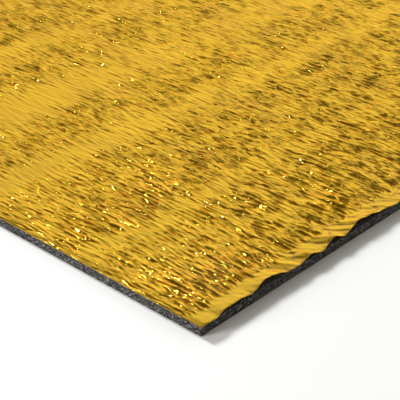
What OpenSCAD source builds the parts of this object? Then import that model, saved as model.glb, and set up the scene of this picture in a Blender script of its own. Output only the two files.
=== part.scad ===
// Reflective foam insulation sheet
//
// A flat sheet of dark closed-cell foam with a crinkled metallised film on its upper face.
// The creases run along Y, in bands with smooth strips between them. Along the -Y edge the
// film is loose: it lifts off the foam in puckers, and its free edge is scalloped.
// The origin is the centre of the foam's underside, and the sheet lies flat.

/* [Sheet] */
// Length of the sheet along X, across the creases
sheet_length = 500; // [200:10:600]
// Width of the sheet along Y, along the creases
sheet_width = 500; // [200:10:600]

/* [Foam] */
// Thickness of the foam
foam_thickness = 5; // [2:0.5:10]

/* [Film] */
// Thickness of the film
film_thickness = 0.1; // [0.05:0.01:0.3]
// Distance from one crease to the next
crease_pitch = 4.5; // [4:0.5:12]
// Height of the tallest crease above the flat film
crease_height = 0.9; // [0.2:0.1:2]
// Distance from one smooth strip to the next
band_pitch = 80; // [60:5:120]
// Width of a smooth strip
strip_width = 12; // [4:1:30]
// Height of the slow waves that are left in the smooth strips
strip_wave = 0.25; // [0:0.05:1]

/* [Loose margin] */
// Width of the margin of film that is not bonded to the foam
margin_width = 11; // [6:1:20]
// Height that the film's free edge lifts off the foam in the tallest pucker
pucker_height = 2.4; // [0.4:0.2:4]
// Mean distance from one pucker to the next
pucker_pitch = 25; // [15:1:60]
// Distance that the free edge draws back from the foam's edge
edge_draw = 2.6; // [0:0.2:5]
// Distance that the free edge reaches past the foam's edge
edge_overhang = 0.8; // [0:0.2:3]
// Length at each end of the free edge where it lies flush on the foam
flush_end = 45; // [10:5:90]

/* [Hidden] */

// Intervals between points in a creased row, a margin row and a strip row
crease_steps = 4 * round(sheet_length / crease_pitch / 2);
margin_steps = crease_steps / 2;
strip_steps = crease_steps / 4;

// Rows of points in the loose margin, and creased rows in each band
margin_rows = 3;
crease_rows = 3;

// Bands that fill the bonded film, and the size of one
bonded_width = sheet_width - margin_width;
bands = max(1, round(bonded_width / band_pitch));
band_width = bonded_width / bands;
crease_width = band_width - strip_width;

// Share of a crease's height that every crest and every trough keeps
crest_floor = 0.35;
trough_share = 0.2;
// Share of a step that a crest may stand to one side
crest_drift = 0.3;
// Points in a row that keep one rhythm of crests before the rhythm may shift
rhythm_run = 9;
// Warp of the puckers along the edge, as a share of their pitch and as a count of puckers
warp_share = 0.35;
warp_run = 3.7;
// Power that bends the lifted margin upwards towards the free edge
lift_curve = 1.4;
// Share of a pucker's height that the margin's flat facets stand up or down
facet_share = 0.12;

foam_top = foam_thickness;
film_flat = foam_thickness + film_thickness;
left = -sheet_length / 2;
front = -sheet_width / 2;
back = sheet_width / 2;
bond_line = front + margin_width;

// Repeatable scatter from 0 to 1 for whole numbers i and j
function scatter(i, j) = rands(0, 1, 1, 7919 * j + i + 101)[0];

// Points that run from end to end of the sheet at even steps
function step_x(i, steps) = left + sheet_length * i / steps;
function inside(i, steps) = i > 0 && i < steps;

// A creased row: crests and troughs take turns, and the rhythm shifts now and then
function is_crest(i, row) = (i + round(scatter(floor(i / rhythm_run), row + 500))) % 2 == 1;
function crease_z(i, row) = film_flat + crease_height *
    (is_crest(i, row) ? crest_floor + (1 - crest_floor) * scatter(i, row)
                      : trough_share * scatter(i, row));
function crease_x(i, row) = step_x(i + (inside(i, crease_steps)
    ? crest_drift * (2 * scatter(i, row + 1000) - 1) : 0), crease_steps);
function crease_row(y, row) = [for (i = [0 : crease_steps])
    [crease_x(i, row), y, crease_z(i, row)]];

// A row at the side of a smooth strip
function strip_row(y, row) = [for (i = [0 : strip_steps])
    [step_x(i, strip_steps), y, film_flat + strip_wave * scatter(i, row)]];

// Puckers along the free edge: each is a hump of its own height, and the warp makes some
// wider than others. Towards both corners they die out.
function pucker_at(x) = x / pucker_pitch + warp_share * sin(360 * x / pucker_pitch / warp_run);
function hump(p, series) = pow(sin(180 * p), 2) * scatter(floor(p) + 300, series);
function end_fade(x) = min(1, (sheet_length / 2 - abs(x)) / flush_end);
function lift(x) = pucker_height * end_fade(x) * hump(pucker_at(x), 31);
function draw(x) = end_fade(x) * (hump(pucker_at(x) + 0.4, 32) * (edge_draw + edge_overhang)
    - edge_overhang);

// A margin row: share 0 is the free edge, and share 1 the line where the bond begins
function facet(i, row, x) = (row > 0 && row < margin_rows) ?
    facet_share * pucker_height * end_fade(x) * scatter(i, row + 40) : 0;
function margin_row(row, thickness) = let (share = row / margin_rows)
    [for (i = [0 : margin_steps]) let (x = step_x(i, margin_steps))
        [x, front + share * margin_width + (1 - share) * draw(x),
         foam_top + thickness + pow(1 - share, lift_curve) * lift(x) + facet(i, row, x)]];

// One band of the bonded film: its creased rows, then both sides of its smooth strip
function band_rows(band) = let (start = bond_line + band * band_width)
    concat(
        [for (row = [1 : crease_rows])
            crease_row(start + crease_width * row / (crease_rows + 1), band * crease_rows + row)],
        [strip_row(start + crease_width, 100 + 2 * band),
         strip_row(start + band_width, 101 + 2 * band)]);

// The flat underside below a row of the top: every point of it, or only its two ends
function flat_below(row) = [for (p = row) [p[0], p[1], foam_top]];
function ends_below(row) = flat_below([row[0], row[len(row) - 1]]);

// Index of the first point of each row when the rows are joined into one list
function starts(rows, k = 0, total = 0) = k == len(rows) ? [total]
    : concat([total], starts(rows, k + 1, total + len(rows[k])));

// Triangles between two rows, a in front of b, with any number of steps in each.
// They face up, or down if flip is true.
function near_b(i, na, nb) = floor(((2 * i + 1) * nb + na) / (2 * na));
function near_a(k, na, nb) = ceil(((2 * k + 1) * na - nb) / (2 * nb));
function stitch(a, na, b, nb, flip = false) = let (faces = concat(
    [for (i = [0 : na - 1]) [a + i, b + near_b(i, na, nb), a + i + 1]],
    [for (k = [0 : nb - 1]) [b + k, b + k + 1, a + near_a(k, na, nb)]]))
    flip ? [for (f = faces) [f[2], f[1], f[0]]] : faces;

// Stitches row r to row s of all rows, whose starts are the list at
function steps_of(at, r) = at[r + 1] - at[r] - 1;
function seam(at, r, s, flip = false) = stitch(at[r], steps_of(at, r), at[s], steps_of(at, s), flip);
function skin(at, first, last, flip = false) = [for (r = [first : last - 1])
    each seam(at, r, r + 1, flip)];

module foam_core() {
    color("#2b2a28")
        translate([left, front, 0])
            cube([sheet_length, sheet_width, foam_thickness]);
}

// The film is one closed skin. Its top follows the creases, strips and puckers. Its
// underside is flat on the foam where it is bonded, and stands off it in the margin.
module reflective_film() {
    bonded_rows = [for (band = [0 : bands - 1]) each band_rows(band)];
    top_rows = concat([for (row = [0 : margin_rows]) margin_row(row, film_thickness)], bonded_rows);
    last = len(top_rows) - 1;
    under_rows = concat(
        [for (row = [0 : margin_rows]) margin_row(row, 0)],
        [for (r = [margin_rows + 1 : last - 1]) ends_below(top_rows[r])],
        [flat_below(top_rows[last])]);
    rows = concat(top_rows, under_rows);
    at = starts(rows);
    under = last + 1;

    // Both side walls, where each row of the top stands over its own row of the underside
    left_wall = [for (r = [0 : last - 1]) let (top = at[r], next = at[r + 1],
        low = at[under + r], low_next = at[under + r + 1])
            each [[low_next, next, top], [low_next, top, low]]];
    right_wall = [for (r = [0 : last - 1]) let (top = at[r + 1] - 1, next = at[r + 2] - 1,
        low = at[under + r + 1] - 1, low_next = at[under + r + 2] - 1)
            each [[low, top, next], [low, next, low_next]]];

    color("#cfa13c")
        polyhedron(
            points = [for (row = rows) each row],
            faces = concat(
                skin(at, 0, last), skin(at, under, under + last, true),
                seam(at, under, 0), seam(at, under + last, last, true),
                left_wall, right_wall));
}

foam_core();
reflective_film();
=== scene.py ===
"""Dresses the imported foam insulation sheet: its cut foam, its crinkled gold film and its studio stage."""

import math

import bpy
import numpy as np
from bpy.props import FloatProperty, FloatVectorProperty, PointerProperty
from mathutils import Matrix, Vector


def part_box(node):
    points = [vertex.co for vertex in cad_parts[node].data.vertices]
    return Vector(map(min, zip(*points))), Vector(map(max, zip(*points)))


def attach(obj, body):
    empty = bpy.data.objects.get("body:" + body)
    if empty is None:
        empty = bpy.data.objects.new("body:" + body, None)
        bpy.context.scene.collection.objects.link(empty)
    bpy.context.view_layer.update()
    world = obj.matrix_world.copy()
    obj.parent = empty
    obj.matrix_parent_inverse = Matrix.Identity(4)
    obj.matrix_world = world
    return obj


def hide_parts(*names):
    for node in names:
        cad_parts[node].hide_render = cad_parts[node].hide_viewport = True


bl_info = {
    "name": "Foam Insulation Sheet",
    "version": (1, 0, 0),
    "blender": (4, 5, 0),
    "location": "View3D > Sidebar > Foam Sheet",
    "description": "Builds a foam insulation sheet with a crinkled gold film, and its studio stage",
    "category": "Add Mesh",
}

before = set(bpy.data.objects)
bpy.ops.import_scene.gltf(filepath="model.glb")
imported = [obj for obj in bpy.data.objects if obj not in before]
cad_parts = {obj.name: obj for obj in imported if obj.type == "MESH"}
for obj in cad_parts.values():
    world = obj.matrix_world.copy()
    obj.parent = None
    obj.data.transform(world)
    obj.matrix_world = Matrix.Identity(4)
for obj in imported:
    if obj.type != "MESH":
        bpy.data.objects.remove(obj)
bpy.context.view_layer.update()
FOAM_LOW, FOAM_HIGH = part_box("foam_core")
FILM_LOW, FILM_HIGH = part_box("reflective_film")

# Lengths in this file are in millimetres unless a property says otherwise
MM = 0.001
HALF_LENGTH = FOAM_HIGH.x / MM
HALF_WIDTH = FOAM_HIGH.y / MM
FOAM_TOP = FOAM_HIGH.z / MM
ROOM_ABOVE_FOAM = (FILM_HIGH.z - FOAM_HIGH.z) / MM


class FilmSettings(bpy.types.PropertyGroup):
    """Sizes and colours of the metallised film"""

    thickness: FloatProperty(
        name="Thickness", description="Thickness of the film",
        default=0.1 * MM, unit="LENGTH")
    crease_height: FloatProperty(
        name="Crease Height", description="Height of the tallest creases",
        default=1.12 * MM, unit="LENGTH")
    crease_pitch: FloatProperty(
        name="Crease Pitch", description="Distance from one crease to the next",
        default=2.35 * MM, unit="LENGTH")
    margin_width: FloatProperty(
        name="Margin Width", description="Width of the loose margin of film",
        default=11.0 * MM, unit="LENGTH")
    gold: FloatVectorProperty(
        name="Gold", description="Colour of the gold lacquer over the metal",
        default=(0.95, 0.59, 0.06), subtype="COLOR", size=3, min=0.0, max=1.0)
    # Painted shade: this darker brown gold goes along the folds of the loose margin and stands for the film reflecting
    # itself in its folds
    fold_shade_gold: FloatVectorProperty(
        name="Fold Shade", description="Colour along the folds of the loose margin",
        default=(0.60, 0.30, 0.10), subtype="COLOR", size=3, min=0.0, max=1.0)
    roughness: FloatProperty(
        name="Roughness", description="Blur of the film's reflections",
        default=0.07, min=0.0, max=1.0, subtype="FACTOR")


class FoamSettings(bpy.types.PropertyGroup):
    """Sizes and colours of the foam"""

    cell_size: FloatProperty(
        name="Cell Size", description="Width of the cells that the knife opened",
        default=0.7 * MM, unit="LENGTH")
    edge_wave: FloatProperty(
        name="Edge Wave", description="Depth of the knife's slow wander along the cut edges",
        default=0.18 * MM, unit="LENGTH")
    graphite: FloatVectorProperty(
        name="Graphite", description="Colour of the foam",
        default=(0.010, 0.009, 0.0075), subtype="COLOR", size=3, min=0.0, max=1.0)
    cell_wall: FloatVectorProperty(
        name="Cell Wall", description="Colour of the cut cell walls",
        default=(0.19, 0.186, 0.178), subtype="COLOR", size=3, min=0.0, max=1.0)


class StageSettings(bpy.types.PropertyGroup):
    """The floor, the light and the camera"""

    floor_size: FloatProperty(
        name="Floor Size", description="Width of the square floor", default=6.0, unit="LENGTH")
    floor_white: FloatVectorProperty(
        name="Floor White", description="Colour of the floor",
        default=(0.97, 0.975, 0.99), subtype="COLOR", size=3, min=0.0, max=1.0)
    key_height: FloatProperty(
        name="Key Height", description="Angle of the key lamp above the floor",
        default=math.radians(34.2), unit="ROTATION")
    key_distance: FloatProperty(
        name="Key Distance", description="Distance of the key lamp from the sheet",
        default=2.5, unit="LENGTH")
    key_spread: FloatProperty(
        name="Key Spread", description="Angle that the key lamp fills, seen from the sheet",
        default=math.radians(13.0), unit="ROTATION")
    key_level: FloatProperty(
        name="Key Level", description="Light of the key lamp on the level floor, where 1 is white",
        default=0.62, min=0.0)


def lattice_noise(x, y, seed):
    """Gradient noise from about -1 to 1. At each lattice point stands a plane through zero with a
    random slope, and the four planes round a point are blended by the curve 6t^5 - 15t^4 + 10t^3."""
    draw = np.random.default_rng(seed)
    size = 1024
    order = draw.permutation(size)
    angle = draw.uniform(0.0, 2.0 * np.pi, size)
    slope_x, slope_y = np.cos(angle), np.sin(angle)
    column, row = np.floor(x).astype(np.int64), np.floor(y).astype(np.int64)
    u, v = x - column, y - row

    def plane(i, j):
        pick = order[(order[(column + i) % size] + row + j) % size]
        return slope_x[pick] * (u - i) + slope_y[pick] * (v - j)

    ease_u = u * u * u * (u * (u * 6.0 - 15.0) + 10.0)
    ease_v = v * v * v * (v * (v * 6.0 - 15.0) + 10.0)
    low = plane(0, 0) + ease_u * (plane(1, 0) - plane(0, 0))
    high = plane(0, 1) + ease_u * (plane(1, 1) - plane(0, 1))
    return 1.5 * (low + ease_v * (high - low))


def smooth_step(low, high, value):
    """0 below low, 1 above high, and 3t^2 - 2t^3 between them."""
    t = np.clip((value - low) / (high - low), 0.0, 1.0)
    return t * t * (3.0 - 2.0 * t)


def graded(start, end, first, last):
    """Positions from start to end whose spacing grows evenly from first to last."""
    count = int(round((end - start) * math.log(last / first) / (last - first)))
    ratio = np.linspace(0.0, 1.0, count + 1)
    growth = last / first
    return start + (end - start) * (growth ** ratio - 1.0) / (growth - 1.0)


# Smooth strips across the creases: distance of the middle from the front edge, half width, depth
STRIPS = ((79.0, 6.0, 0.6), (161.0, 10.0, 0.85), (230.0, 20.0, 0.9), (303.0, 12.0, 0.85),
          (378.0, 8.0, 0.75), (452.0, 10.0, 0.8))
# Free edge of the film: distance along the front edge from the left corner, and how far the film's
# edge stands behind the foam's edge there
FREE_EDGE = ((0.0, -0.3), (8.0, -0.6), (17.0, 0.9), (28.0, 1.0), (34.0, 0.3), (47.0, 2.4), (64.0, -0.3),
             (77.0, 0.9), (84.0, -0.4), (96.0, 1.6), (103.0, 0.2), (117.0, 2.3), (136.0, 0.9),
             (147.0, -0.3))
# Past the last of these the edge goes on as noise: its mean, its swing and the size of its waves
EDGE_MEAN, EDGE_SWING, EDGE_WAVE = 0.6, 1.7, 13.0
# Lift of the free edge for each millimetre that it draws back
LIFT_SHARE = 0.62
# Direction of the folds in the loose margin
FOLD_DIRECTION = (0.68, -0.733)


def free_edge(x):
    """How far the film's free edge stands behind the foam's edge: smooth steps between the listed
    places, then noise, with small ripples over it all. It lies flush at the right corner."""
    places, setbacks = np.array(FREE_EDGE).T
    along = x + HALF_LENGTH
    after = np.clip(np.searchsorted(places, along, side="right"), 1, len(places) - 1)
    share = smooth_step(places[after - 1], places[after], along)
    listed = setbacks[after - 1] + share * (setbacks[after] - setbacks[after - 1])
    noise = EDGE_MEAN + EDGE_SWING * lattice_noise(along / EDGE_WAVE, x * 0.0 + 0.4, 92)
    edge = np.where(along < places[-1], listed, noise * smooth_step(0.0, 8.0, along - places[-1])
                    + setbacks[-1] * (1.0 - smooth_step(0.0, 8.0, along - places[-1])))
    ripple = 0.15 * lattice_noise(x / 2.6, x * 0.0 + 0.5, 91)
    return edge * smooth_step(0.0, 30.0, HALF_LENGTH - x) + ripple


def band_strength(x, depth):
    """How strongly the film is creased, from 0 to 1: the product over all strips of one minus a
    soft-edged bell over the strip, times slow patches."""
    strength = np.ones(x.shape)
    fading = 1.0 - 0.5 * smooth_step(40.0, 230.0, x + HALF_LENGTH)
    for index, (middle, half, calm) in enumerate(STRIPS):
        wander = 4.0 * lattice_noise(x / 55.0, x * 0.0 + 3.7 * index, 40 + index)
        strength *= 1.0 - calm * fading * np.exp(-(((depth - middle - wander) / half) ** 2) * 0.8)
    patches = 0.95 + 0.16 * lattice_noise(x / 38.0, depth / 42.0, 51)
    return strength * np.clip(patches, 0.25, 1.1)


def cell_bowls(x, y, seed):
    """Squares of the distances to the nearest and to the next nearest of points that are scattered
    one to a unit square."""
    draw = np.random.default_rng(seed)
    size = 1024
    order = draw.permutation(size)
    shift_x, shift_y = draw.uniform(0.22, 0.78, size), draw.uniform(0.05, 0.95, size)
    column, row = np.floor(x).astype(np.int64), np.floor(y).astype(np.int64)
    nearest = np.full(np.broadcast(x, y).shape, 4.0)
    second = nearest.copy()
    for i in (-1, 0, 1):
        for j in (-1, 0, 1):
            pick = order[(order[(column + i) % size] + row + j) % size]
            reach = (column + i + shift_x[pick] - x) ** 2 + (row + j + shift_y[pick] - y) ** 2
            second = np.minimum(second, np.maximum(nearest, reach))
            nearest = np.minimum(nearest, reach)
    return nearest, second


def crumple_shape(x, y, seed):
    """Flat facets that meet in sharp folds, about -0.6 to 0.6: the bowls round one scatter of points
    less those round another, so that their curves cancel and only their rims are left."""
    return cell_bowls(x, y, seed)[0] - cell_bowls(x, y, seed + 1)[0]


def saw_wave(turns, rise):
    """A straight climb from 0 to 1 over the share rise of a turn, and a straight fall over the rest."""
    part = turns - np.floor(turns)
    return np.minimum(part / rise, (1.0 - part) / (1.0 - rise))


def crease_shape(x, y, pitch, seed):
    """Creases that run along Y and fork."""
    total = 0.0
    slant = y + HALF_WIDTH - 95.0
    x = x + 9.0 * lattice_noise(x / 75.0, y / 48.0, seed + 40) - 0.1 * (slant + np.hypot(slant, 30.0))
    for index, (size, turn, share) in enumerate(((1.55, -0.10, 1.0), (1.2, -0.20, 0.65), (2.2, 0.0, 0.35))):
        length = size * pitch
        drift = 0.85 * lattice_noise(x / (4.5 * pitch), y / (7 * pitch), seed + 3 * index)
        drift = drift + 0.38 * lattice_noise(x / (1.7 * pitch), y / (2.6 * pitch), seed + 3 * index + 1)
        fade = np.clip(0.8 + 1.3 * lattice_noise(x / (2.6 * pitch), y / (5.5 * pitch), seed + 3 * index + 2), 0.0, 2.0)
        total = total + share * fade * (saw_wave((x + turn * y) / length + drift, 0.3) - 0.5)
    return total


def creasing(x, y, film):
    """How strongly the film is creased, from 0 in the loose margin to about 1 in the bands."""
    depth = y + HALF_WIDTH
    edge_line = film.margin_width / MM * (1.0 + 0.3 * lattice_noise(x / 9.0, x * 0.0 + 0.5, 61))
    return band_strength(x, depth) * smooth_step(0.65 * edge_line, 1.25 * edge_line, depth)


def fold_shade_share(x, y, film):
    """1 on the fold lines of the loose margin, where the gold gets painted shade that stands for the film reflecting
    itself in its folds, and 0 beside them.
    """
    nearest, second = cell_bowls(*margin_place(x, y), 32)
    loose = 1.0 - smooth_step(1.0, 1.6, (y + HALF_WIDTH) / (film.margin_width / MM))
    loose = loose * smooth_step(32.0, 60.0, x + HALF_LENGTH)
    return loose * (1.0 - smooth_step(0.02, 0.10, second - nearest))


def margin_place(x, y):
    """Places in the loose margin on unit squares that are stretched along its slanting folds."""
    along = x * FOLD_DIRECTION[0] + y * FOLD_DIRECTION[1]
    across = x * -FOLD_DIRECTION[1] + y * FOLD_DIRECTION[0]
    return along / 19.0, across / 7.0


def film_relief(x, y, film):
    """Height of the film above its flat state: creases in the bands, folds in the loose margin, fine
    crumples of every direction and slow waves."""
    strength = creasing(x, y, film)
    creases = crease_shape(x, y, film.crease_pitch / MM, 21)
    creases = creases + 0.22 * crumple_shape(x / 3.4, y / 9.0, 71)
    side = (1.0 - smooth_step(8.0, 70.0, x + HALF_LENGTH)) * smooth_step(85.0, 125.0, y + HALF_WIDTH)
    creases = creases * (1.0 - 0.45 * side)
    calm = 1.0 - band_strength(x, y + HALF_WIDTH) + 0.8 * side
    margins = (y + HALF_WIDTH) / (film.margin_width / MM)
    creases = creases * (1.0 + 0.5 * np.exp(-((margins - 1.8) / 0.8) ** 2))
    creases = strength * (film.crease_height / MM * creases + 0.35)
    loose = (1.0 - smooth_step(0.9, 1.4, margins)) * (0.25 + 0.75 * smooth_step(32.0, 60.0, x + HALF_LENGTH))
    along, across = margin_place(x, y)
    wrinkle = saw_wave(3.0 * across + lattice_noise(along, across, 36), 0.35) - 0.5
    folds = loose * (1.2 * crumple_shape(along, across, 31) + 0.3 * crumple_shape(2.3 * along, 2.3 * across, 35)
                     + 0.4 * wrinkle * np.clip(lattice_noise(0.8 * along, 0.9 * across, 37), 0.0, 1.0))
    crumple = 0.03 * lattice_noise(x / 1.9, y / 3.1, 81) + 0.06 * lattice_noise(x / 4.5, y / 6.5, 82)
    crumple = crumple + 0.45 * calm * crumple_shape(x / 4.2, y / 6.0, 77)
    waves = 0.10 * lattice_noise(x / 16.0, y / 21.0, 83)
    return creases + folds + crumple + waves + 0.35


def film_points(film):
    """Points of the film's upper face on a grid: finest at the front left corner, where the creases
    are told apart by eye, and coarser away from it. The first rows span the loose margin."""
    columns = graded(-HALF_LENGTH, HALF_LENGTH, 0.52, 0.92)
    margin = film.margin_width / MM
    margin_steps = np.linspace(0.0, 1.0, MARGIN_ROWS + 1)
    rows = graded(margin - HALF_WIDTH, HALF_WIDTH, 3.0, 7.0)[1:]
    x = np.repeat(columns[None, :], len(margin_steps) + len(rows), 0)
    y = np.empty_like(x)
    back = np.maximum(free_edge(columns), FILM_LOW.y / MM + HALF_WIDTH + 0.02)
    y[:MARGIN_ROWS + 1] = -HALF_WIDTH + back + margin_steps[:, None] * (margin - back)
    y[MARGIN_ROWS + 1:] = rows[:, None]
    depth = y + HALF_WIDTH
    lift = LIFT_SHARE * np.maximum(back, 0.0) * (1.0 - smooth_step(0.0, 1.2 * margin, depth)) ** 1.3
    relief = np.maximum(film_relief(x, y, film), 0.02)
    ends = smooth_step(0.0, 4.0, np.minimum(HALF_LENGTH - np.abs(x), HALF_WIDTH - y))
    relief = relief * (0.15 + 0.85 * ends)
    z = FOAM_TOP + film.thickness / MM + np.minimum(lift + relief, ROOM_ABOVE_FOAM - 0.15)
    return np.stack([x, y, z], -1)


MARGIN_ROWS = 13


def quad_grid(rows, columns, start=0):
    """Corner indexes of the quads of a grid of points, row by row, facing up."""
    index = start + np.arange(rows * columns).reshape(rows, columns)
    return np.stack([index[:-1, :-1], index[:-1, 1:], index[1:, 1:], index[1:, :-1]], -1).reshape(-1, 4)


def new_piece(name, points, faces, smooth, shares=()):
    """A mesh object at the origin from points in millimetres, with smooth shading where asked. The
    shares are pairs of a name and a value for each point."""
    mesh = bpy.data.meshes.new(name)
    mesh.from_pydata((points * MM).tolist(), [], faces)
    mesh.polygons.foreach_set("use_smooth", smooth)
    mesh.update()
    for title, share in shares:
        mesh.attributes.new(title, "FLOAT", "POINT").data.foreach_set("value", share)
    piece = bpy.data.objects.new(name, mesh)
    bpy.context.scene.collection.objects.link(piece)
    return piece


def film_mesh(film):
    """The film as one closed skin: its upper face, the underside of the loose margin a film's
    thickness below, the flat bonded underside between them, and a narrow wall round it all."""
    top = film_points(film)
    rows, columns = top.shape[:2]
    under = top[:MARGIN_ROWS + 1].copy()
    under[..., 2] -= film.thickness / MM
    floor = np.stack([top[MARGIN_ROWS + 1:, 0], top[MARGIN_ROWS + 1:, -1]], 1)
    floor[..., 2] = FOAM_TOP + 0.005
    back = top[-1].copy()
    back[:, 2] = FOAM_TOP + 0.005
    points = np.concatenate([top.reshape(-1, 3), under.reshape(-1, 3), floor.reshape(-1, 3)[:-2], back])
    first_under = rows * columns
    first_floor = first_under + (MARGIN_ROWS + 1) * columns
    first_back = first_floor + 2 * (rows - MARGIN_ROWS - 2)
    upper = quad_grid(rows, columns)
    lower = quad_grid(MARGIN_ROWS + 1, columns, first_under)[:, ::-1]

    left_low = [first_under + r * columns for r in range(MARGIN_ROWS + 1)]
    left_low += [first_floor + 2 * r for r in range(rows - MARGIN_ROWS - 2)] + [first_back]
    right_low = [k + columns - 1 for k in left_low[:MARGIN_ROWS + 1]]
    right_low += [k + 1 for k in left_low[MARGIN_ROWS + 1:-1]] + [first_back + columns - 1]
    side = []
    for r in range(rows - 1):
        a, b = r * columns, (r + 1) * columns
        side.append([a, b, left_low[r + 1], left_low[r]])
        side.append([b + columns - 1, a + columns - 1, right_low[r], right_low[r + 1]])
    for r in range(MARGIN_ROWS + 1, rows - 2):
        side.append([left_low[r], left_low[r + 1], right_low[r + 1], right_low[r]])
    bond = list(range(left_low[MARGIN_ROWS], right_low[MARGIN_ROWS] + 1))
    side.append([left_low[MARGIN_ROWS + 1], right_low[MARGIN_ROWS + 1]] + bond[::-1])
    last = list(range(first_back, first_back + columns))
    side.append([right_low[rows - 2], left_low[rows - 2]] + last)
    front = [[c + 1, c, first_under + c, first_under + c + 1] for c in range(columns - 1)]
    tail = (rows - 1) * columns
    rear = [[tail + c, tail + c + 1, first_back + c + 1, first_back + c] for c in range(columns - 1)]
    faces = upper.tolist() + lower.tolist() + side + front + rear
    smooth = np.zeros(len(faces), bool)
    smooth[:len(upper) + len(lower)] = True
    # The second share marks the fold lines of the loose margin, where painted shade goes
    shares = (("creasing", creasing(points[:, 0], points[:, 1], film)),
              ("fold_shade", fold_shade_share(points[:, 0], points[:, 1], film)))
    return points, faces, smooth, shares


def foam_mesh(foam):
    """The foam as one closed block: a wall carried round the outline, with a wandering knife cut
    and small hollows where cells were opened, a flat upper face and a flat underside."""
    step = 0.62
    count_x, count_y = int(2 * HALF_LENGTH / step), int(2 * HALF_WIDTH / step)
    along_x = np.linspace(-HALF_LENGTH, HALF_LENGTH, count_x + 1)
    along_y = np.linspace(-HALF_WIDTH, HALF_WIDTH, count_y + 1)
    path = np.concatenate([
        np.stack([along_x[:-1], 0 * along_x[:-1] - HALF_WIDTH], -1),
        np.stack([0 * along_y[:-1] + HALF_LENGTH, along_y[:-1]], -1),
        np.stack([along_x[:0:-1], 0 * along_x[:0:-1] + HALF_WIDTH], -1),
        np.stack([0 * along_y[:0:-1] - HALF_LENGTH, along_y[:0:-1]], -1)])
    normal = np.concatenate([
        np.tile([0.0, -1.0], (count_x, 1)), np.tile([1.0, 0.0], (count_y, 1)),
        np.tile([0.0, 1.0], (count_x, 1)), np.tile([-1.0, 0.0], (count_y, 1))])
    corners = [0, count_x, count_x + count_y, 2 * count_x + count_y]
    normal[corners] = [[-1.0, -1.0], [1.0, -1.0], [1.0, 1.0], [-1.0, 1.0]]
    distance = np.arange(len(path)) * step
    levels = np.array([0.0, 0.12, 0.6, 1.2, 1.8, 2.4, 3.0, 3.6, 4.2, 4.85, 5.0]) / 5.0 * FOAM_TOP
    s, z = np.meshgrid(distance, levels)
    inner = smooth_step(0.0, 0.5, z) * smooth_step(0.0, 0.5, FOAM_TOP - z)
    wave = foam.edge_wave / MM * (0.6 + 0.5 * lattice_noise(s / 23.0, z / 9.0, 5)
                                  + 0.35 * lattice_noise(s / 5.0, z / 4.0, 6))
    cells = 0.10 * np.clip(lattice_noise(s / 1.3, z / 1.3, 7), 0.0, 1.0)
    round_off = 0.12 * (1.0 - inner)
    inset = np.clip(wave, 0.0, 1.0) + cells * inner + round_off
    points = np.empty(s.shape + (3,))
    points[..., :2] = path[None] - normal[None] * inset[..., None]
    points[..., 2] = z
    rows, columns = s.shape
    index = np.arange(rows * columns).reshape(rows, columns)
    turn = np.roll(index, -1, 1)
    wall = np.stack([index[:-1], turn[:-1], turn[1:], index[1:]], -1).reshape(-1, 4)
    faces = wall.tolist() + [index[-1].tolist(), index[0, ::-1].tolist()]
    smooth = np.zeros(len(faces), bool)
    smooth[:len(wall)] = True
    return points.reshape(-1, 3), faces, smooth


def add_node(tree, kind, **values):
    """A shader node with its properties and, by input name or number, its values or links."""
    made = tree.nodes.new(kind)
    inputs = values.pop("inputs", {})
    for key, value in values.items():
        setattr(made, key, value)
    for key, value in inputs.items():
        if isinstance(value, bpy.types.NodeSocket):
            tree.links.new(value, made.inputs[key])
        else:
            made.inputs[key].default_value = value
    return made


def new_material(name):
    """An empty node material, its tree and its Principled shader wired to the output."""
    material = bpy.data.materials.new(name)
    material.use_nodes = True
    tree = material.node_tree
    tree.nodes.clear()
    shader = add_node(tree, "ShaderNodeBsdfPrincipled")
    output = add_node(tree, "ShaderNodeOutputMaterial")
    tree.links.new(shader.outputs["BSDF"], output.inputs["Surface"])
    return material, tree, shader


def object_pattern(tree, size_x, size_y, size_z):
    """Object coordinates scaled so that one unit is the given size in millimetres."""
    place = add_node(tree, "ShaderNodeTexCoord").outputs["Object"]
    return add_node(tree, "ShaderNodeMapping", inputs={
        "Vector": place, "Scale": (1.0 / (size_x * MM), 1.0 / (size_y * MM), 1.0 / (size_z * MM))
    }).outputs["Vector"]


def noise_pattern(tree, vector, detail=2.0, distortion=0.0, roughness=0.5):
    """Blender's noise at one unit of the vector, from 0 to 1."""
    return add_node(tree, "ShaderNodeTexNoise", inputs={
        "Vector": vector, "Scale": 1.0, "Detail": detail, "Distortion": distortion,
        "Roughness": roughness}).outputs["Fac"]


def rescale(tree, value, low, high, to_low=0.0, to_high=1.0):
    """The value stretched from low..high to to_low..to_high, and held inside it."""
    return add_node(tree, "ShaderNodeMapRange", inputs={
        "Value": value, "From Min": low, "From Max": high, "To Min": to_low, "To Max": to_high
    }).outputs["Result"]


def calculate(tree, operation, first, second=0.0):
    """The result of a Math node."""
    return add_node(tree, "ShaderNodeMath", operation=operation,
                    inputs={0: first, 1: second}).outputs["Value"]


def mix_colours(tree, share, first, second):
    """The first colour where the share is 0 and the second where it is 1."""
    return add_node(tree, "ShaderNodeMix", data_type="RGBA", inputs={
        0: share, 6: (*first, 1.0) if isinstance(first, tuple) else first,
        7: (*second, 1.0) if isinstance(second, tuple) else second}).outputs[2]


# Distance from one fine crease to the next, in the film's bump
FINE_PITCH, FINE_HEIGHT = 2.1, 0.42


def squared_cells(tree, vector, scale):
    """Square of the distance to the nearest cell point of a flat Voronoi pattern."""
    distance = add_node(tree, "ShaderNodeTexVoronoi", feature="F1", voronoi_dimensions="2D", inputs={
        "Vector": vector, "Scale": scale}).outputs["Distance"]
    return calculate(tree, "MULTIPLY", distance, distance)


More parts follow.
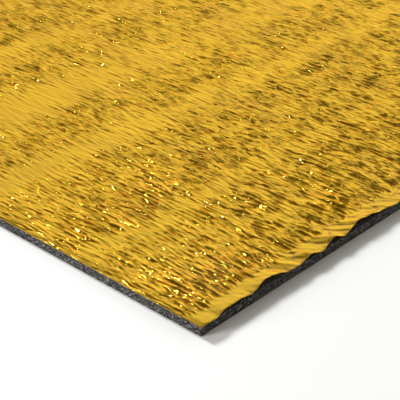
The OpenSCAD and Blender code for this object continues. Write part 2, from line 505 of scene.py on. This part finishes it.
def gold_film_material(film):
    """Metal under a gold lacquer: fine creases along Y, a crumple of tiny facets, patches where the lacquer is a
    little thicker and browner, and painted shade along the folds of the loose margin."""
    material, tree, shader = new_material("gold_film")
    place = object_pattern(tree, FINE_PITCH, 4.0 * FINE_PITCH, FINE_PITCH)
    bend = add_node(tree, "ShaderNodeTexNoise", inputs={"Vector": place, "Scale": 0.45, "Detail": 2.0})
    bent = add_node(tree, "ShaderNodeMixRGB", blend_type="ADD", inputs={
        "Fac": 1.0, "Color1": place, "Color2": bend.outputs["Color"]}).outputs["Color"]
    bowls = calculate(tree, "SUBTRACT", squared_cells(tree, bent, 1.0), squared_cells(tree, bent, 1.07))
    share = add_node(tree, "ShaderNodeAttribute", attribute_name="creasing").outputs["Fac"]
    share = calculate(tree, "MULTIPLY", share, FINE_HEIGHT)
    facets = noise_pattern(tree, object_pattern(tree, 1.6, 3.0, 1.6), 2.0, 0.5)
    height = calculate(tree, "ADD", calculate(tree, "MULTIPLY", bowls, share),
                       calculate(tree, "MULTIPLY", facets, 0.025))
    bump = add_node(tree, "ShaderNodeBump", inputs={
        "Strength": 1.0, "Distance": 1.0 * MM, "Height": height})
    tree.links.new(bump.outputs["Normal"], shader.inputs["Normal"])
    patches = noise_pattern(tree, object_pattern(tree, 26.0, 40.0, 26.0), 3.0)
    gold = tuple(film.gold)
    brown = (gold[0] * 0.86, gold[1] * 0.84, gold[2] * 1.05)
    colour = mix_colours(tree, rescale(tree, patches, 0.45, 0.75), gold, brown)
    # Painted shade: along the fold lines of the loose margin the gold is mixed towards a darker brown that stands for
    # the film reflecting itself in its folds
    fold_shade = add_node(tree, "ShaderNodeAttribute", attribute_name="fold_shade").outputs["Fac"]
    colour = mix_colours(tree, calculate(tree, "MULTIPLY", fold_shade, 0.8), colour, tuple(film.fold_shade_gold))
    tree.links.new(colour, shader.inputs["Base Color"])
    blur = noise_pattern(tree, object_pattern(tree, 6.0, 14.0, 6.0), 2.0)
    tree.links.new(rescale(tree, blur, 0.35, 0.7, 0.7 * film.roughness, 1.35 * film.roughness),
                   shader.inputs["Roughness"])
    shader.inputs["Metallic"].default_value = 1.0
    shader.inputs["Specular Tint"].default_value = (1.0, 0.8, 0.45, 1.0)
    return material


def graphite_foam_material(foam):
    """Dark foam: cells opened by the knife, with paler walls between them."""
    material, tree, shader = new_material("graphite_foam")
    cell = foam.cell_size / MM
    cells = add_node(tree, "ShaderNodeTexVoronoi", feature="F1", inputs={
        "Vector": object_pattern(tree, cell, cell, cell), "Scale": 1.0}).outputs["Distance"]
    coarse = noise_pattern(tree, object_pattern(tree, 1.6, 1.6, 1.2), 3.0)
    walls = rescale(tree, calculate(tree, "MULTIPLY", cells, calculate(tree, "ADD", coarse, 0.5)),
                    0.45, 0.85)
    colour = mix_colours(tree, walls, tuple(foam.graphite), tuple(foam.cell_wall))
    tree.links.new(colour, shader.inputs["Base Color"])
    bump = add_node(tree, "ShaderNodeBump", inputs={
        "Strength": 0.9, "Distance": 0.35 * MM, "Height": walls})
    tree.links.new(bump.outputs["Normal"], shader.inputs["Normal"])
    shader.inputs["Roughness"].default_value = 0.75
    shader.inputs["Specular IOR Level"].default_value = 0.2
    return material


def floor_material(stage):
    """A white floor."""
    material, tree, shader = new_material("floor_white")
    shader.inputs["Base Color"].default_value = (*stage.floor_white, 1.0)
    shader.inputs["Roughness"].default_value = 0.9
    shader.inputs["Specular IOR Level"].default_value = 0.0
    return material


# Camera: its place, its level heading and its downward tilt, worked out from the sheet's edges
CAMERA_PLACE = (-549.8, -527.6, 299.4)
CAMERA_HEADING = (0.7331, 0.6801)
CAMERA_TILT = math.radians(29.51)
CAMERA_LENS = 104.76
CAMERA_SENSOR = 36.0


class SHEET_OT_foam_core(bpy.types.Operator):
    """Make the cut foam block"""

    bl_idname = "sheet.foam_core"
    bl_label = "Foam Core"

    def execute(self, context):
        foam = context.scene.sheet_foam
        piece = new_piece("cut_foam", *foam_mesh(foam))
        piece.data.materials.append(graphite_foam_material(foam))
        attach(piece, "root")
        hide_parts("foam_core")
        return {"FINISHED"}


class SHEET_OT_reflective_film(bpy.types.Operator):
    """Make the crinkled gold film"""

    bl_idname = "sheet.reflective_film"
    bl_label = "Reflective Film"

    def execute(self, context):
        film = context.scene.sheet_film
        piece = new_piece("crinkled_film", *film_mesh(film))
        piece.data.materials.append(gold_film_material(film))
        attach(piece, "root")
        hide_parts("reflective_film")
        return {"FINISHED"}


class SHEET_OT_studio_stage(bpy.types.Operator):
    """Make the floor, the lamps, the surrounding light and the camera"""

    bl_idname = "sheet.studio_stage"
    bl_label = "Studio Stage"

    def execute(self, context):
        stage = context.scene.sheet_stage
        half = stage.floor_size / 2.0
        mesh = bpy.data.meshes.new("floor")
        mesh.from_pydata([(-half, -half, 0.0), (half, -half, 0.0), (half, half, 0.0), (-half, half, 0.0)],
                         [], [(0, 1, 2, 3)])
        mesh.materials.append(floor_material(stage))
        floor = bpy.data.objects.new("floor", mesh)
        context.scene.collection.objects.link(floor)
        add_lamps(context.scene, stage)
        add_surroundings(context.scene)
        add_camera(context.scene)
        context.scene.view_settings.view_transform = "Standard"
        return {"FINISHED"}


def add_lamp(scene, name, towards, distance, spread, facing_light, tall=1.0):
    """An oval lamp, as many times taller than wide as tall says, that gives the wished light on a
    white surface that faces it."""
    lamp = bpy.data.lights.new(name, "AREA")
    lamp.shape = "ELLIPSE"
    lamp.size = 2.0 * distance * math.tan(spread / 2.0)
    lamp.size_y = tall * lamp.size
    lamp.energy = facing_light * math.pi ** 2 * distance ** 2
    holder = bpy.data.objects.new(name, lamp)
    holder.location = Vector((-0.1, -0.1, 0.0)) + towards * distance
    holder.rotation_euler = towards.to_track_quat("Z", "Y").to_euler()
    scene.collection.objects.link(holder)
    return holder


def direction(azimuth, height):
    """Unit vector from two angles in radians: round from +X towards +Y, and up from the floor."""
    return Vector((math.cos(azimuth) * math.cos(height), math.sin(azimuth) * math.cos(height),
                   math.sin(height)))


# Azimuth and height in degrees, and level, of the small lamps that make the film glint
GLINT_LAMPS = ((113.0, 48.0, 0.04), (121.0, 41.0, 0.03), (104.0, 55.0, 0.02), (84.0, 47.0, 0.008))


def add_lamps(scene, stage):
    """The key lamp for the shadow, a small lamp for the film's glints, and a low lamp at the side."""
    towards = direction(math.radians(90.0), stage.key_height)
    key = add_lamp(scene, "key_lamp", towards, stage.key_distance, stage.key_spread,
                   stage.key_level / math.sin(stage.key_height))
    key.visible_glossy = False
    for index, (azimuth, height, level) in enumerate(GLINT_LAMPS):
        towards = direction(math.radians(azimuth), math.radians(height))
        glint = add_lamp(scene, f"glint_lamp_{index}", towards, stage.key_distance,
                         math.radians(0.14), level, 20.0)
        glint.visible_diffuse = False
    side = add_lamp(scene, "side_lamp", direction(math.radians(160.0), math.radians(11.0)),
                    stage.key_distance, math.radians(20.0), 1.08)
    side.visible_glossy = False
    top = add_lamp(scene, "top_lamp", direction(math.radians(80.0), math.radians(62.0)),
                   stage.key_distance, math.radians(50.0), 0.06)
    top.visible_glossy = False
    top.data.color = (0.5, 0.68, 1.0)


# The surrounding light: a pale wall behind the sheet, brightest near the floor and dark overhead
WALL_TOWARDS = (1.0, 0.05, 0.0)
ROOM_LEVEL = 0.02
# Light of the wall by the sine of the height above the floor
WALL_LEVELS = ((0.0, 1.32), (0.20, 1.18), (0.36, 1.02), (0.57, 0.84), (0.70, 0.56), (0.85, 0.18))


def stepped_level(tree, value, steps):
    """The level at the value, on straight lines between the steps."""
    brightest = max(level for place, level in steps)
    ramp = add_node(tree, "ShaderNodeValToRGB", inputs={"Fac": value})
    stops = ramp.color_ramp.elements
    while len(stops) < len(steps):
        stops.new(1.0)
    for stop, (place, level) in zip(stops, steps):
        stop.position = place
        stop.color = (level / brightest, level / brightest, level / brightest, 1.0)
    return calculate(tree, "MULTIPLY", ramp.outputs["Color"], brightest)


def add_surroundings(scene):
    """World light that is dark towards the camera's side and bright high up behind the sheet."""
    world = bpy.data.worlds.new("studio")
    scene.world = world
    world.use_nodes = True
    tree = world.node_tree
    tree.nodes.clear()
    place = add_node(tree, "ShaderNodeTexCoord").outputs["Generated"]

    def facing(aim):
        return add_node(tree, "ShaderNodeVectorMath", operation="DOT_PRODUCT", inputs={
            0: place, 1: tuple(Vector(aim).normalized())}).outputs["Value"]

    def eased(value, low, high):
        return add_node(tree, "ShaderNodeMapRange", interpolation_type="SMOOTHSTEP", inputs={
            "Value": value, "From Min": low, "From Max": high}).outputs["Result"]

    upwards = facing((0.0, 0.0, 1.0))
    wall = calculate(tree, "MULTIPLY", eased(facing(WALL_TOWARDS), -0.35, 0.95),
                     stepped_level(tree, upwards, WALL_LEVELS))
    colour = mix_colours(tree, wall, (0.085, 0.064, 0.010), (1.0, 1.0, 1.0))
    dim = calculate(tree, "MULTIPLY", eased(facing((-1.0, 0.0, 0.0)), 0.1, 0.8), 0.4)
    low = mix_colours(tree, dim, colour, (1.0, 1.0, 1.0))
    colour = mix_colours(tree, eased(upwards, 0.2, 0.5), low, colour)
    colour = mix_colours(tree, eased(upwards, 0.03, 0.12), (1.0, 1.0, 1.0), colour)
    sky = add_node(tree, "ShaderNodeBackground", inputs={
        "Color": colour, "Strength": 1.0})
    output = add_node(tree, "ShaderNodeOutputWorld")
    tree.links.new(sky.outputs["Background"], output.inputs["Surface"])


def add_camera(scene):
    """The camera at the place from which the photograph sees the sheet."""
    camera = bpy.data.cameras.new("camera")
    camera.lens = CAMERA_LENS
    camera.sensor_width = CAMERA_SENSOR
    holder = bpy.data.objects.new("camera", camera)
    holder.location = Vector(CAMERA_PLACE) * MM
    level = math.cos(CAMERA_TILT)
    forward = Vector((CAMERA_HEADING[0] * level, CAMERA_HEADING[1] * level, -math.sin(CAMERA_TILT)))
    holder.rotation_euler = forward.to_track_quat("-Z", "Y").to_euler()
    scene.collection.objects.link(holder)
    scene.camera = holder


class SHEET_PT_panel(bpy.types.Panel):
    """Foam sheet settings and operators"""

    bl_idname = "SHEET_PT_panel"
    bl_label = "Foam Sheet"
    bl_space_type = "VIEW_3D"
    bl_region_type = "UI"
    bl_category = "Foam Sheet"

    def draw(self, context):
        layout = self.layout
        for group, operator in ((context.scene.sheet_foam, "sheet.foam_core"),
                                (context.scene.sheet_film, "sheet.reflective_film"),
                                (context.scene.sheet_stage, "sheet.studio_stage")):
            box = layout.box()
            for name in group.__annotations__:
                box.prop(group, name)
            box.operator(operator)


CLASSES = (FilmSettings, FoamSettings, StageSettings, SHEET_OT_foam_core,
           SHEET_OT_reflective_film, SHEET_OT_studio_stage, SHEET_PT_panel)


def register():
    for cls in CLASSES:
        bpy.utils.register_class(cls)
    bpy.types.Scene.sheet_film = PointerProperty(type=FilmSettings)
    bpy.types.Scene.sheet_foam = PointerProperty(type=FoamSettings)
    bpy.types.Scene.sheet_stage = PointerProperty(type=StageSettings)


def unregister():
    del bpy.types.Scene.sheet_film
    del bpy.types.Scene.sheet_foam
    del bpy.types.Scene.sheet_stage
    for cls in reversed(CLASSES):
        bpy.utils.unregister_class(cls)


def main():
    register()
    bpy.ops.sheet.foam_core()
    bpy.ops.sheet.reflective_film()
    bpy.ops.sheet.studio_stage()


if __name__ == "__main__":
    main()
